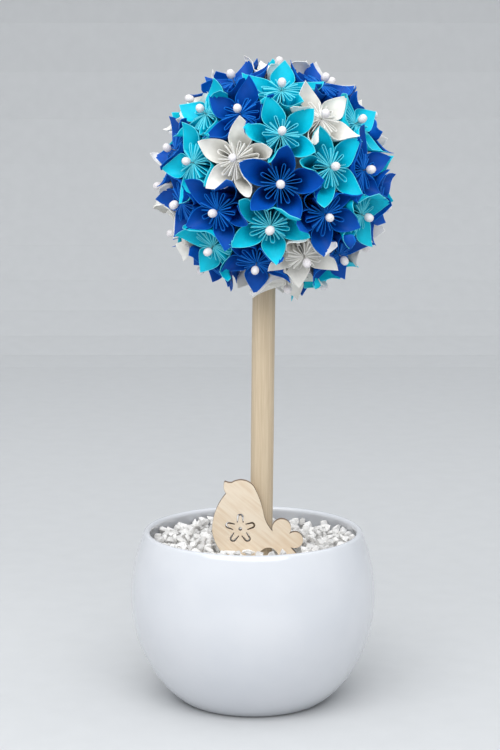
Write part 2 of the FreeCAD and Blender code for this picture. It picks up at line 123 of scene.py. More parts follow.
class Shader:
    """A material under construction: its tree, its surface node and the patterns it reads."""

    def __init__(self, name: str) -> None:
        """Start a material with one Principled surface."""
        self.material = bpy.data.materials.new(name)
        self.material.use_nodes = True
        self.tree = self.material.node_tree
        self.surface = self.tree.nodes["Principled BSDF"]
        self.place = self.node("ShaderNodeTexCoord", output="Object")

    def node(self, kind: str, output: Union[int, str] = 0, settings: Union[dict, None] = None,
             **inputs: object) -> Value:
        """Add a node.

        Args:
            kind: the node's type.
            output: the output that is wanted.
            settings: the node's own properties, set before its sockets.
            inputs: each socket's value or link, by its name with spaces as underscores.

        Returns:
            The wanted output.
        """
        node = self.tree.nodes.new(kind)
        for key, value in (settings or {}).items():
            setattr(node, key, value)
        for key, value in inputs.items():
            self.feed(node.inputs[key.replace("_", " ")], value)
        return Value(self.tree, node.outputs[output])

    def feed(self, socket: bpy.types.NodeSocket, value: object) -> None:
        """Link a value to a socket, or write a number or colour to it."""
        if isinstance(value, Value):
            self.tree.links.new(value.socket, socket)
        elif isinstance(value, tuple) and len(value) == 3 and socket.type == "RGBA":
            socket.default_value = (*value, 1.0)
        else:
            socket.default_value = value

    def set(self, **inputs: object) -> None:
        """Feed sockets of the surface, by name with spaces as underscores."""
        for key, value in inputs.items():
            self.feed(self.surface.inputs[key.replace("_", " ")], value)

    def noise(self, scale: float, detail: float = 3.0, place: Union[Value, None] = None) -> Value:
        """Return a noise from zero to one over Object coordinates or another place."""
        return self.node("ShaderNodeTexNoise", output="Fac", Vector=place or self.place,
                         Scale=scale, Detail=detail)

    def stretched(self, along: Colour) -> Value:
        """Return Object coordinates scaled by a factor along each axis."""
        return self.node("ShaderNodeMapping", Vector=self.place, Scale=along)

    def mix(self, share: Number, first: object, second: object) -> Value:
        """Return a colour between two, by a share from zero to one."""
        node = self.tree.nodes.new("ShaderNodeMix")
        node.data_type = "RGBA"
        self.feed(node.inputs["Factor"], share)
        self.feed(node.inputs[6], first)
        self.feed(node.inputs[7], second)
        return Value(self.tree, node.outputs[2])

    def smooth(self, value: Value, low: float, high: float) -> Value:
        """Return a smooth step of a value from zero at low to one at high."""
        return self.node("ShaderNodeMapRange", settings={"interpolation_type": "SMOOTHSTEP"},
                         Value=value, From_Min=low, From_Max=high)

    def bump(self, height: Value, depth: float, strength: float = 1.0) -> None:
        """Feed a bump of a height in units of depth, in metres, to the surface's normal."""
        self.set(Normal=self.node("ShaderNodeBump", Height=height, Distance=depth, Strength=strength))


def attribute(shader: Shader, name: str) -> Value:
    """Return a mesh attribute as a number."""
    return shader.node("ShaderNodeAttribute", output="Fac", settings={"attribute_name": name})


# Meshes


@dataclass
class MeshParts:
    """Corner points, faces and a tone for each point, gathered from many surfaces."""

    points: list[np.ndarray] = field(default_factory=list)
    quads: list[np.ndarray] = field(default_factory=list)
    tones: list[np.ndarray] = field(default_factory=list)
    count: int = 0

    def add(self, points: np.ndarray, faces: np.ndarray, tone: Union[float, np.ndarray] = 0.0) -> None:
        """Add points, their faces as rows of four (the last repeated in a triangle) and a tone."""
        self.points.append(points)
        self.quads.append(faces + self.count)
        self.tones.append(np.broadcast_to(np.asarray(tone, float), (len(points),)))
        self.count += len(points)

    def build(self, name: str, shader: Shader, slot: str, smooth: bool = True) -> bpy.types.Object:
        """Make one object that rides on the frame's body and takes a material.

        Args:
            name: the piece's name.
            shader: its material.
            slot: the record's material slot; not used.
            smooth: whether its faces are shaded smooth.

        Returns:
            The new object.
        """
        points = np.concatenate(self.points)
        quads = np.concatenate(self.quads)
        triangle = quads[:, 2] == quads[:, 3]
        sizes = np.where(triangle, 3, 4)
        keep = np.ones(quads.shape, bool)
        keep[:, 3] = ~triangle
        mesh = bpy.data.meshes.new(name)
        mesh.vertices.add(len(points))
        mesh.vertices.foreach_set("co", points.astype(np.float32).ravel())
        mesh.loops.add(int(sizes.sum()))
        mesh.loops.foreach_set("vertex_index", quads[keep].astype(np.int32))
        mesh.polygons.add(len(quads))
        mesh.polygons.foreach_set("loop_start", np.r_[0, np.cumsum(sizes)[:-1]].astype(np.int32))
        mesh.update(calc_edges=True)
        mesh.polygons.foreach_set("use_smooth", np.full(len(quads), smooth))
        tone = mesh.attributes.new("tone", "FLOAT", "POINT")
        tone.data.foreach_set("value", np.concatenate(self.tones).astype(np.float32))
        mesh.validate()
        mesh.materials.append(shader.material)
        piece = bpy.data.objects.new(name, mesh)
        bpy.context.scene.collection.objects.link(piece)
        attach(piece, "root")
        return piece


def grid_faces(rows: int, columns: int, closed: bool = False) -> np.ndarray:
    """Return the faces of a grid of points in row order.

    Args:
        rows: points up the grid.
        columns: points along it.
        closed: whether the last column joins the first.

    Returns:
        Rows of four point numbers.
    """
    last = columns if closed else columns - 1
    row, column = np.meshgrid(np.arange(rows - 1), np.arange(last), indexing="ij")
    following = (column + 1) % columns
    corners = (row * columns + column, row * columns + following,
               (row + 1) * columns + following, (row + 1) * columns + column)
    return np.stack(corners, axis=-1).reshape(-1, 4)


def turned_surface(profile: np.ndarray, sides: int) -> tuple[np.ndarray, np.ndarray]:
    """Turn a profile of (radius, height) points about the Z axis.

    A point is (radius cos t, radius sin t, height) for each side's angle t, and a profile that runs
    up the outside has its faces outward.

    Returns:
        The points and the faces.
    """
    turn = np.linspace(0, 2 * math.pi, sides, endpoint=False)
    radius, height = profile[:, :1], profile[:, 1:]
    points = np.stack([radius * np.cos(turn), radius * np.sin(turn), height + 0 * turn], axis=-1)
    return points.reshape(-1, 3), grid_faces(len(profile), sides, closed=True)


def unit(vectors: np.ndarray) -> np.ndarray:
    """Return vectors scaled to length one."""
    return vectors / np.linalg.norm(vectors, axis=-1, keepdims=True)


def circle(turn: np.ndarray) -> np.ndarray:
    """Return the points of the unit circle at angles in radians."""
    return np.stack([np.cos(turn), np.sin(turn)], axis=-1)


def eased(over: np.ndarray, margin: float) -> np.ndarray:
    """Return how far to move a point back from a border it is over, softly within a margin."""
    return over - margin * (1 - np.exp(-over / margin))


def smoothstep(low: float, high: float, value: np.ndarray) -> np.ndarray:
    """Return a smooth step from zero at low to one at high."""
    share = np.clip((value - low) / (high - low), 0, 1)
    return share * share * (3 - 2 * share)


def arc_points(start: tuple, end: tuple, radius: float, count: int) -> np.ndarray:
    """Return points along the arc that bulges to the right of the way from start to end."""
    first, last = np.array(start), np.array(end)
    chord = last - first
    length = np.linalg.norm(chord)
    outward = np.array([chord[1], -chord[0]]) / length
    half = math.asin(min(1.0, length / 2 / radius))
    centre = (first + last) / 2 - outward * radius * math.cos(half)
    angle = np.linspace(-half, half, count)[:, None]
    along = chord / length
    return centre + radius * (np.cos(angle) * outward + np.sin(angle) * along)


# Finishes


class PaperTint(Enum):
    """The three papers: the sheet's colour, the painted highlight colour of its folds and cut edges and
    the record's slot.
    """

    # each paper's second colour is a painted highlight, where folds and cut edges catch the light
    TURQUOISE = ((0.0, 0.58, 0.76), (0.24, 0.86, 0.94), "turquoise_paper")
    BLUE = ((0.0, 0.080, 0.44), (0.0, 0.23, 0.80), "blue_paper")
    WHITE = ((0.88, 0.87, 0.825), (0.90, 0.89, 0.86), "white_paper")

    @property
    def sheet(self) -> Colour:
        """Return the colour of the flat sheet."""
        return self.value[0]

    @property
    def fold(self) -> Colour:
        """Return the painted highlight colour of folds and cut edges, paler than the sheet."""
        return self.value[1]

    @property
    def slot(self) -> str:
        """Return the record's material slot."""
        return self.value[2]


@dataclass(frozen=True)
class PaperFinish:
    """Dyed craft paper: faint pulp clouds, fibre tooth and a painted highlight along folds and cut
    edges.
    """

    tint: PaperTint
    cloud_scale: float = 160.0
    fibre_scale: float = 2600.0
    fibre_depth: float = 0.00004

    def make(self) -> Shader:
        """Return the paper's material."""
        shader = Shader("paper_" + self.tint.name.lower())
        clouds = shader.noise(self.cloud_scale, 4.0)
        fibre = shader.noise(self.fibre_scale, 2.0)
        tone = attribute(shader, "tone")
        deep = tuple(0.86 * part for part in self.tint.sheet)
        sheet = shader.mix(shader.smooth(clouds, 0.3, 0.7), deep, self.tint.sheet)
        # painted highlight: the edge tone, ruffled by the fibre, mixes in the pale highlight colour at
        # folds and cut edges
        painted_highlight_share = (tone * 0.85 + (fibre - 0.5) * 0.12 * tone).at_least(0.0).at_most(1.0)
        shader.set(Base_Color=shader.mix(painted_highlight_share, sheet, self.tint.fold), Roughness=fibre * 0.16 + 0.42)
        shader.surface.inputs["Specular IOR Level"].default_value = 0.18
        shader.bump(fibre, self.fibre_depth)
        return shader


@dataclass(frozen=True)
class GlazeFinish:
    """White gloss glaze over a slightly wavy body."""

    colour: Colour = (0.67, 0.685, 0.72)
    pooled: Colour = (0.63, 0.65, 0.69)
    wave_scale: float = 22.0
    wave_depth: float = 0.0006

    def make(self) -> Shader:
        """Return the glaze's material."""
        shader = Shader("white_glaze")
        cloud = shader.noise(30.0, 3.0)
        speck = shader.noise(900.0, 2.0)
        shader.set(Base_Color=shader.mix(shader.smooth(cloud, 0.3, 0.75), self.pooled, self.colour),
                   Roughness=speck * 0.05 + 0.10)
        shader.surface.inputs["Coat Weight"].default_value = 0.6
        shader.surface.inputs["Coat Roughness"].default_value = 0.06
        shader.bump(shader.noise(self.wave_scale, 1.0), self.wave_depth, 0.5)
        return shader


@dataclass(frozen=True)
class WoodFinish:
    """Bare pale wood with grain that runs up the piece."""

    name: str
    light: Colour
    dark: Colour
    grain: Colour

    def make(self) -> Shader:
        """Return the wood's material."""
        shader = Shader(self.name)
        streaks = shader.noise(1.0, 5.0, shader.stretched(self.grain))
        fine = shader.noise(1.0, 2.0, shader.stretched(tuple(part * 4 for part in self.grain)))
        line = shader.smooth(streaks * 0.7 + fine * 0.3, 0.34, 0.66)
        shader.set(Base_Color=shader.mix(line, self.dark, self.light), Roughness=0.62 - line * 0.12)
        shader.bump(fine, 0.00012, 0.6)
        return shader


@dataclass(frozen=True)
class StoneFinish:
    """Crushed white marble: each chip has its own grey, with faint veins."""

    name: str
    light: Colour
    dark: Colour

    def make(self) -> Shader:
        """Return the stone's material."""
        shader = Shader(self.name)
        tone = attribute(shader, "tone")
        vein = shader.noise(420.0, 4.0)
        share = (tone * 0.75 + shader.smooth(vein, 0.45, 0.75) * 0.35).at_most(1.0)
        shader.set(Base_Color=shader.mix(share, self.light, self.dark), Roughness=vein * 0.2 + 0.5)
        shader.bump(shader.noise(1500.0, 3.0), 0.0002, 0.7)
        return shader


@dataclass(frozen=True)
class PearlFinish:
    """The pins' heads: off-white with a fine speckle, and steel where the tone attribute is one."""

    colour: Colour = (0.79, 0.76, 0.775)
    speck: Colour = (0.60, 0.56, 0.58)
    steel: Colour = (0.62, 0.60, 0.57)

    def make(self) -> Shader:
        """Return the pins' material."""
        shader = Shader("pearl_head")
        grains = shader.smooth(shader.noise(1500.0, 3.0), 0.52, 0.66)
        shaft = attribute(shader, "tone")
        head = shader.mix(grains * 0.55, self.colour, self.speck)
        shader.set(Base_Color=shader.mix(shaft, head, self.steel), Metallic=shaft,
                   Roughness=grains * 0.15 + 0.36)
        shader.bump(grains, 0.00005, 0.7)
        return shader


@dataclass(frozen=True)
class FoamFinish:
    """Pressed foam beads, cell against cell."""

    colour: Colour = (0.84, 0.84, 0.83)
    joint: Colour = (0.62, 0.62, 0.62)

    def make(self) -> Shader:
        """Return the foam's material."""
        shader = Shader("bead_foam")
        cells = shader.node("ShaderNodeTexVoronoi", output="Distance", Vector=shader.place, Scale=420.0)
        groove = shader.smooth(cells, 0.1, 0.75)
        shader.set(Base_Color=shader.mix(groove * 0.5, self.colour, self.joint),
                   Roughness=groove * 0.2 + 0.55)
        shader.bump(1 - groove, 0.0003, 0.7)
        return shader


# The ball


@dataclass
class FlowerSeat:
    """Where one flower of the frame sits: its node, axis, turn and place, read from its mesh.

    Its foot is the points within a small depth of the core, and its petals' rim is read where it
    leans from the axis by more than open_from degrees.
    """

    node: str
    centre: np.ndarray
    core_radius: float
    apex: float
    number: int = 0
    foot_depth: float = 0.3 * MILLIMETRE
    bore_radius: float = 0.6 * MILLIMETRE
    open_from: float = 16.0
    axis: np.ndarray = field(init=False)
    spin: float = field(init=False)
    basis: np.ndarray = field(init=False)
    rim: Union[np.ndarray, None] = None

    def __post_init__(self) -> None:
        """Read the axis from the flat foot of the flower and the spin from the bore's corners."""
        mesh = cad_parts[self.node].data
        points = np.empty(len(mesh.vertices) * 3)
        mesh.vertices.foreach_get("co", points)
        points = points.reshape(-1, 3) - self.centre
        foot = points[np.linalg.norm(points, axis=1) < self.core_radius + self.foot_depth]
        middle = foot.mean(axis=0)
        _, _, directions = np.linalg.svd(foot - middle)
        axis = directions[2]
        self.axis = axis if axis @ middle > 0 else -axis
        right = unit(np.array([-self.axis[1], self.axis[0], 0.0]))
        upward = np.cross(self.axis, right)
        across, along = foot @ right, foot @ upward
        bore = np.hypot(across, along) < self.bore_radius
        corner = np.degrees(np.arctan2(along[bore], across[bore])) * PETALS
        mean = np.arctan2(np.sin(np.radians(corner)).mean(), np.cos(np.radians(corner)).mean())
        self.spin = math.degrees(mean) / PETALS - PETAL_TURN / 2
        turn = math.radians(self.spin)
        first = right * math.cos(turn) + upward * math.sin(turn)
        self.basis = np.stack([first, np.cross(self.axis, first), self.axis], axis=1)
        self.number = int(self.node.split("_")[1])

    def keep_rim(self, points: np.ndarray, step: float = 6.0) -> None:
        """Keep the open rim as rows of azimuth, lean from the axis and distance, in azimuth order.

        The rim is read every few degrees and evened with its neighbours, so that it has no jumps.
        """
        local = points @ self.basis - (0, 0, self.apex)
        azimuth = np.degrees(np.arctan2(local[:, 1], local[:, 0]))
        lean = np.hypot(local[:, 0], local[:, 1]) / local[:, 2]
        leaning = lean > math.tan(math.radians(self.open_from))
        table = np.stack([azimuth, lean, np.linalg.norm(local, axis=1)])[:, leaning]
        table = table[:, np.argsort(table[0])]
        whole = [[360], [0], [0]]
        round_again = np.concatenate([table - whole, table, table + whole], axis=1)
        marks = np.arange(-180.0, 180.0, step)
        rows = [np.interp(marks, round_again[0], row) for row in round_again[1:]]
        for _ in range(2):
            rows = [(np.roll(row, 1) + 2 * row + np.roll(row, -1)) / 4 for row in rows]
        self.rim = np.concatenate([np.stack([marks + turn, *rows]) for turn in (-360, 0, 360)], axis=1)

    def tint(self) -> PaperTint:
        """Return the paper's colour, which the node's name gives."""
        return PaperTint[self.node.split("_")[2].upper()]


@dataclass
class PaperFold:
    """One folded sheet of the flower, as a strip of fold lines that meet near the origin.

    Args:
        path: for each column, the fold line's angle from the axis along and across the petal.
        tops: each column's distance from the meeting point to the strip's upper edge.
        thickness: the strip's thickness, doubled folds included.
    """

    path: np.ndarray
    tops: np.ndarray
    thickness: float

    def surface(self, rows: np.ndarray, seat: float) -> np.ndarray:
        """Return a grid of points: each column runs up its fold line from the seat to its top."""
        azimuth = np.arctan2(self.path[:, 1], self.path[:, 0])
        tilt = np.radians(np.hypot(*self.path.T))
        lines = np.column_stack([np.sin(tilt)[:, None] * circle(azimuth), np.cos(tilt)])
        low = seat / lines[:, 2]
        reach = low + (self.tops - low) * rows[:, None]
        return lines * reach[..., None]


def grid_normals(grid: np.ndarray) -> np.ndarray:
    """Return the unit normal at each point of a grid, from its neighbours along both ways."""
    along = np.gradient(grid, axis=1)
    upward = np.gradient(grid, axis=0)
    return unit(np.cross(along, upward) + 1e-12)


def add_sheet(parts: MeshParts, grid: np.ndarray, thickness: float, edge_rows: int) -> None:
    """Give a grid a thickness and add it, closed all round, with a pale tone at its upper edge for a
    painted highlight.

    The two faces are the grid moved half a thickness each way along its normals, joined by a strip
    round the border. The top rows have a tone of one.
    """
    rows, columns = grid.shape[:2]
    shift = grid_normals(grid) * thickness / 2
    both = np.concatenate([(grid + shift).reshape(-1, 3), (grid - shift).reshape(-1, 3)])
    faces = grid_faces(rows, columns)
    count = rows * columns
    number = np.arange(count).reshape(rows, columns)
    border = np.concatenate([number[0, :-1], number[:-1, -1], number[-1, :0:-1], number[:0:-1, 0]])
    following = np.roll(border, -1)
    rim = np.stack([following, border, border + count, following + count], axis=-1)
    tone = np.zeros((rows, columns))
    # the upper edge's tone marks where the paper's painted highlight is mixed in
    tone[rows - edge_rows:] = 0.7
    tones = np.concatenate([tone.ravel(), tone.ravel()])
    parts.add(both, np.concatenate([faces, faces[:, ::-1] + count, rim]), tones)


@dataclass
class FoldedFlower:
    """One flower of five folded papers, opened to its natural spread.

    A sheet of the paper's side is folded to its middle. The back of each petal is a quarter of the
    sheet: its edge is half the side from the meeting point at the seams, and the sheet's corner,
    at the side over root two, is the tip.
    """

    paper_side: float = 50.0 * MILLIMETRE
    seat: float = 3.5 * MILLIMETRE
    back_thickness: float = 0.18 * MILLIMETRE
    fold_thickness: float = 0.18 * MILLIMETRE
    seam_angle: float = 20.0
    reach: float = 32.5
    column_pairs: int = 13
    back_rows: tuple[float, ...] = (0.0, 0.2, 0.35, 0.5, 0.62, 0.73, 0.82, 0.9, 0.96, 0.985, 1.0)
    fold_rows: tuple[float, ...] = (0.0, 0.35, 0.7, 0.98, 1.0)

    def back(self, rng: np.random.Generator) -> tuple[PaperFold, float]:
        """Return a petal's back and its tip's angle.

        Its directions run out along one seam, round a Bezier curve to the tip and back the same way;
        columns are evenly spaced by the developed angle, 45 degrees to each side of the tip.
        """
        reach = self.reach + rng.uniform(-2.0, 4.5)
        seam = self.seam_angle + rng.uniform(-1.5, 1.0)
        sway = rng.uniform(-1.6, 1.6)
        half = []
        seam_turn = math.radians(PETAL_TURN / 2)
        for side in (1, -1):
            wall = seam * np.array([math.cos(seam_turn), side * math.sin(seam_turn)])
            bulge = wall * (1.27 + rng.uniform(-0.06, 0.10))
            shoulder = np.array([reach, sway + side * (reach * 0.31 + rng.uniform(-1.2, 1.2))])
            tip = np.array([reach, sway])
            share = np.linspace(0, 1, 40)[:, None]
            curve = ((1 - share) ** 3 * wall + 3 * (1 - share) ** 2 * share * bulge
                     + 3 * (1 - share) * share ** 2 * shoulder + share ** 3 * tip)
            straight = np.linspace(0.06, 1, 12, endpoint=False)[:, None] * wall
            half.append(np.concatenate([straight, curve]))
        path = np.concatenate([half[0], half[1][-2::-1]])
        steps = np.r_[0, np.cumsum(np.linalg.norm(np.diff(path, axis=0), axis=1))]
        middle = steps[len(half[0]) - 1]
        developed = 45 * np.where(steps < middle, steps / middle - 1,
                                  (steps - middle) / (steps[-1] - middle))
        wanted = np.linspace(-45, 45, 2 * self.column_pairs + 1)
        columns = np.stack([np.interp(wanted, developed, path[:, axis]) for axis in (0, 1)], axis=-1)
        tops = self.paper_side / 2 / np.cos(np.radians(45 - np.abs(wanted)))
        return PaperFold(columns, tops, self.back_thickness), reach

    def finger(self, azimuth: float, half_width: float, outer: float, top: float) -> PaperFold:
        """Return a narrow fold that stands inside a petal, closed at its outer end by a small U."""
        end = (outer, 0) + half_width * circle(np.radians(np.linspace(-90, 90, 5)))
        near = np.stack([np.linspace(1.2, outer, 4, endpoint=False),
                         -half_width * np.linspace(0.25, 1, 4)], axis=-1)
        path = np.concatenate([near, end, near[::-1] * (1, -1)])
        spin = math.radians(azimuth)
        turned = path @ np.array([[math.cos(spin), math.sin(spin)], [-math.sin(spin), math.cos(spin)]])
        tops = self.paper_side * (0.5 + (top - 0.5) * path[:, 0] / outer)
        return PaperFold(turned, tops, self.fold_thickness)

    def petal(self, rng: np.random.Generator) -> Iterable[tuple[np.ndarray, float]]:
        """Yield the grids of one petal, in the flower's frame, and their thicknesses."""
        back, reach = self.back(rng)
        rows = np.array(self.back_rows)
        grid = back.surface(rows, self.seat)
        curl = rng.uniform(0.2, 1.0) * 2.4 * MILLIMETRE
        across = np.linspace(-1, 1, grid.shape[1])
        lift = smoothstep(0.62, 1.0, rows)[:, None] ** 1.5 * np.cos(across * math.pi / 2) ** 2 * curl
        grid = grid + lift[..., None] * np.array([0.85, 0.0, -0.5])
        yield grid, back.thickness
        sway = rng.uniform(-2, 2)
        for azimuth, half_width, outer in ((sway, 1.9, 20.0), (-24, 0.45, 18.5), (24, 0.45, 18.5)):
            spread = outer * reach / self.reach * rng.uniform(0.94, 1.05)
            fold = self.finger(azimuth + rng.uniform(-2.5, 2.5), half_width * rng.uniform(0.7, 1.25),
                               spread, rng.uniform(0.515, 0.55))
            yield fold.surface(np.array(self.fold_rows), self.seat), fold.thickness


@dataclass
class FlowerBall:
    """The foam ball with its flowers and pins, each flower kept in its own share of the ball.

    Two flowers are rivals where the cosine between their axes is over near, and a flower meets the
    stem where the cosine to it is over near_stem. Rounds says how often each round of moves is
    evened out over a sheet.
    """

    flower: FoldedFlower = field(default_factory=FoldedFlower)
    gap: float = 0.5 * MILLIMETRE
    margin: float = 1.6 * MILLIMETRE
    lean_from: float = 45.0 * MILLIMETRE
    pearl_width: float = 4.2 * MILLIMETRE
    pearl_length: float = 4.9 * MILLIMETRE
    pearl_above_paper: float = 2.2 * MILLIMETRE
    pin_radius: float = 0.3 * MILLIMETRE
    pin_depth: float = 4 * MILLIMETRE
    near: float = 0.6
    near_stem: float = 0.55
    press_lift: float = 0.22
    lean: float = 0.5
    even_lean: float = 0.45
    evening: int = 5
    rounds: tuple[int, ...] = (6, 5, 4, 3, 2, 1)

    def __post_init__(self) -> None:
        """Read the ball's centre, its radius and each flower's seat from the frame."""
        low, high = (np.array(corner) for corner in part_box("foam_core"))
        self.core_radius = float(high[0] - low[0]) / 2
        middle = (low + high) / 2
        self.centre = np.array([middle[0], middle[1], high[2] - self.core_radius])
        names = sorted(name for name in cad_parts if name.startswith("flower_"))
        apex = self.core_radius - self.flower.seat
        self.seats = [FlowerSeat(name, self.centre, self.core_radius, apex) for name in names]
        stem_low, stem_high = (np.array(corner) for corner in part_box("stem"))
        self.stem_foot = np.array([stem_low[0] + STEM_RADIUS, 0.0, stem_low[2]])
        stem_head = np.array([stem_high[0] - STEM_RADIUS, 0.0, stem_high[2]])
        self.stem_axis = unit(self.stem_foot - stem_head)

    def alignment(self, seat: FlowerSeat, towards: np.ndarray) -> float:
        """Return how straight the nearest petal of a flower points at a direction, from -1 to 1."""
        local = seat.basis.T @ towards
        return math.cos(math.atan2(local[1], local[0]) * PETALS)

    def rivals(self, seat: FlowerSeat) -> list[FlowerSeat]:
        """Return the flowers near enough to touch a flower."""
        return [other for other in self.seats
                if other is not seat and seat.axis @ other.axis > self.near]

    def kept_in_share(self, seat: FlowerSeat, points: np.ndarray) -> np.ndarray:
        """Press points back from the neighbouring flowers and from the stem.

        A border is the plane halfway between two axes. Past a distance from the centre it leans over
        to the neighbour, further where that one has no petal.
        """
        for rival in self.rivals(seat):
            away = unit(rival.axis - seat.axis)
            favour = (self.alignment(seat, away) - self.alignment(rival, -away)) / 2
            slope = self.lean * (self.even_lean + max(favour, 0.0))
            beyond = np.clip(np.linalg.norm(points, axis=-1) - self.lean_from, 0, None)
            points = self.pressed(points, away, points @ away - slope * beyond + self.gap / 2)
        if seat.axis @ self.stem_axis > self.near_stem:
            level = seat.axis * (1, 1, 0)
            across = np.array([self.stem_foot[0] - self.centre[0], 0.0, 0.0])
            away = unit(across - level * self.core_radius)
            reach = points - (self.stem_foot - self.centre)
            sideways = reach - (reach @ self.stem_axis)[..., None] * self.stem_axis
            points = self.pressed(points, away, sideways @ away + STEM_RADIUS + self.gap)
        return points

    def clear_of_rim(self, points: np.ndarray, rival: FlowerSeat) -> np.ndarray:
        """Move points that are inside a rival's open cup away from its axis to just outside its wall.

        The wall stands at height times the rim's lean from the rival's axis, and ends at the rim.
        """
        local = points @ rival.basis - (0, 0, rival.apex)
        azimuth = np.degrees(np.arctan2(local[..., 1], local[..., 0]))
        lean = np.interp(azimuth, rival.rim[0], rival.rim[1])
        top = np.interp(azimuth, rival.rim[0], rival.rim[2])
        outward = np.maximum(np.hypot(local[..., 0], local[..., 1]), MILLIMETRE)
        over = np.clip(local[..., 2] * lean + self.gap - outward + self.margin / 2, 0, None)
        reach = np.linalg.norm(local, axis=-1)
        fade = smoothstep(top - 1.5 * MILLIMETRE, top + 3 * MILLIMETRE, reach)
        shift = eased(over, self.margin / 2) * (1 - fade)
        local[..., :2] *= (1 + shift / outward)[..., None]
        return (local + (0, 0, rival.apex)) @ rival.basis.T

    def opened(self, seat: FlowerSeat, free: np.ndarray) -> np.ndarray:
        """Return a sheet of a flower as it opens among its neighbours.

        It is pressed back at the borders once. Then it is moved out of the cups of the flowers that
        were opened earlier in rounds, each evened out over the sheet.
        """
        placed = self.relaxed(free, self.kept_in_share(seat, free), self.evening)
        earlier = [rival for rival in self.rivals(seat) if rival.rim is not None]
        for evening in self.rounds:
            moved = placed
            for rival in earlier:
                moved = self.clear_of_rim(moved, rival)
            placed = self.relaxed(placed, moved, evening)
        return placed

    @staticmethod
    def relaxed(free: np.ndarray, placed: np.ndarray, evening: int) -> np.ndarray:
        """Even out how far a sheet was moved, since paper bends as a whole and has no kinks."""
        shift = placed - free
        for _ in range(evening):
            wide = np.pad(shift, ((1, 1), (1, 1), (0, 0)), mode="edge")
            shift = (wide[:-2, 1:-1] + wide[2:, 1:-1] + wide[1:-1, :-2] + wide[1:-1, 2:] + 4 * shift) / 8
        return free + shift

    def pressed(self, points: np.ndarray, away: np.ndarray, past: np.ndarray) -> np.ndarray:
        """Ease points back from a border by how far past it they are, and lift them a little."""
        shift = eased(np.clip(past + self.margin, 0, None), self.margin)
        lift = 1 + self.press_lift * shift / np.linalg.norm(points, axis=-1)
        return (points - shift[..., None] * away) * lift[..., None]

    def build_flowers(self, shaders: dict[PaperTint, Shader]) -> None:
        """Fold every flower and put each in its frame node's place."""
        for seat in sorted(self.seats, key=lambda seat: -abs(seat.axis[1])):
            rng = np.random.default_rng(seat.number)
            parts = MeshParts()
            rims = []
            for index in range(PETALS):
                turn = math.radians(index * PETAL_TURN)
                cosine, sine = math.cos(turn), math.sin(turn)
                spin = np.array([[cosine, -sine, 0], [sine, cosine, 0], [0, 0, 1]])
                for order, (grid, thickness) in enumerate(self.flower.petal(rng)):
                    free = (grid @ spin.T + (0, 0, seat.apex)) @ seat.basis.T
                    placed = self.opened(seat, free)
                    add_sheet(parts, placed + self.centre, thickness, 1)
                    if order == 0:
                        rims.append(placed[-1])
            seat.keep_rim(np.concatenate(rims))
            tint = seat.tint()
            piece = parts.build("paper_" + seat.node, shaders[tint], tint.slot)
            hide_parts(seat.node)
        LOG.info("flowers: %d", len(self.seats))

    def build_pins(self, shader: Shader) -> None:
        """Put a pearl-headed pin through the middle of each flower."""
        parts = MeshParts()
        base = self.core_radius - self.flower.seat + self.flower.paper_side / 2 + self.pearl_above_paper
        turn = np.linspace(0, math.pi, 13)
        head = np.stack([np.sin(turn) ** 0.8 * self.pearl_width / 2,
                         -np.cos(turn) * self.pearl_length / 2], axis=-1)
        head[[0, -1], 0] = 0.02 * self.pearl_width
        points, faces = turned_surface(head, 18)
        shaft = np.array([[self.pin_radius, self.core_radius - self.pin_depth],
                          [self.pin_radius, base + MILLIMETRE]])
        shaft_points, shaft_faces = turned_surface(shaft, 8)
        for seat in self.seats:
            rng = np.random.default_rng(900 + seat.number)
            tilt, turn = rng.uniform(0, 0.5), rng.uniform(0, 2 * math.pi)
            lean = unit(np.array([math.sin(tilt) * math.cos(turn), math.sin(tilt) * math.sin(turn),
                                  math.cos(tilt)]))
            side = unit(np.cross(lean, (1.0, 0.2, 0.1)))
            turned = points @ np.stack([side, np.cross(lean, side), lean])
            placed = turned * rng.uniform(0.94, 1.05) + (0, 0, base + self.pearl_length / 2)
            parts.add(placed @ seat.basis.T + self.centre, faces, 0.0)
            parts.add(shaft_points @ seat.basis.T + self.centre, shaft_faces, 1.0)
        piece = parts.build("pearl_headed_pins", shader, "white_pearl")
        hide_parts("pearl_pins")
        LOG.info("pins: %d", len(self.seats))

    def build_core(self, shader: Shader) -> None:
        """Round the foam ball finely, with a slightly uneven bead surface."""
        turn = np.linspace(0, math.pi, 65)
        profile = np.stack([np.sin(turn), -np.cos(turn)], axis=-1) * self.core_radius
        profile[[0, -1], 0] = 0.001 * self.core_radius
        points, faces = turned_surface(profile, 96)
        parts = MeshParts()
        parts.add(points + self.centre, faces)
        piece = parts.build("foam_ball", shader, "white_foam")
        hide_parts("foam_core")


# Stem and pot


